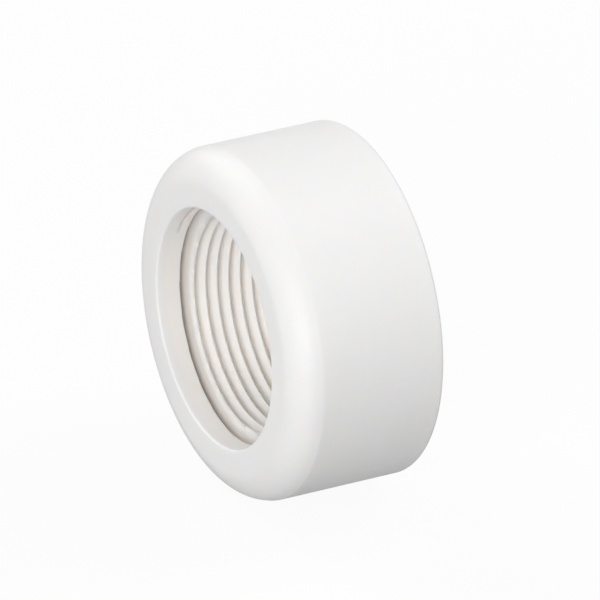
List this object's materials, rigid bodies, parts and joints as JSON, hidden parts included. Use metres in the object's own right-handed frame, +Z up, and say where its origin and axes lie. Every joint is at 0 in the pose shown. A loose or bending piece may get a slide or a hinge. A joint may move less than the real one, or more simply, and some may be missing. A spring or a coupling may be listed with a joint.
{
  "type": "pipe cap",
  "caption": "Round white plastic pipe cap with a thick rounded mouth lip, a smooth outer wall, an internal pipe thread and a flat closed end.",
  "frame": {"origin": "centre of the mouth plane, on the axis of the thread", "axes": "the cap lies on its side: +Y along its axis from the mouth to the closed end, +Z up"},
  "size_m": [0.0622, 0.0282, 0.0622],
  "materials": {
    "white_plastic": "satin, injection moulded"
  },
  "bodies": {
    "root": {"cap_body": "white_plastic"}
  },
  "joints": []
}
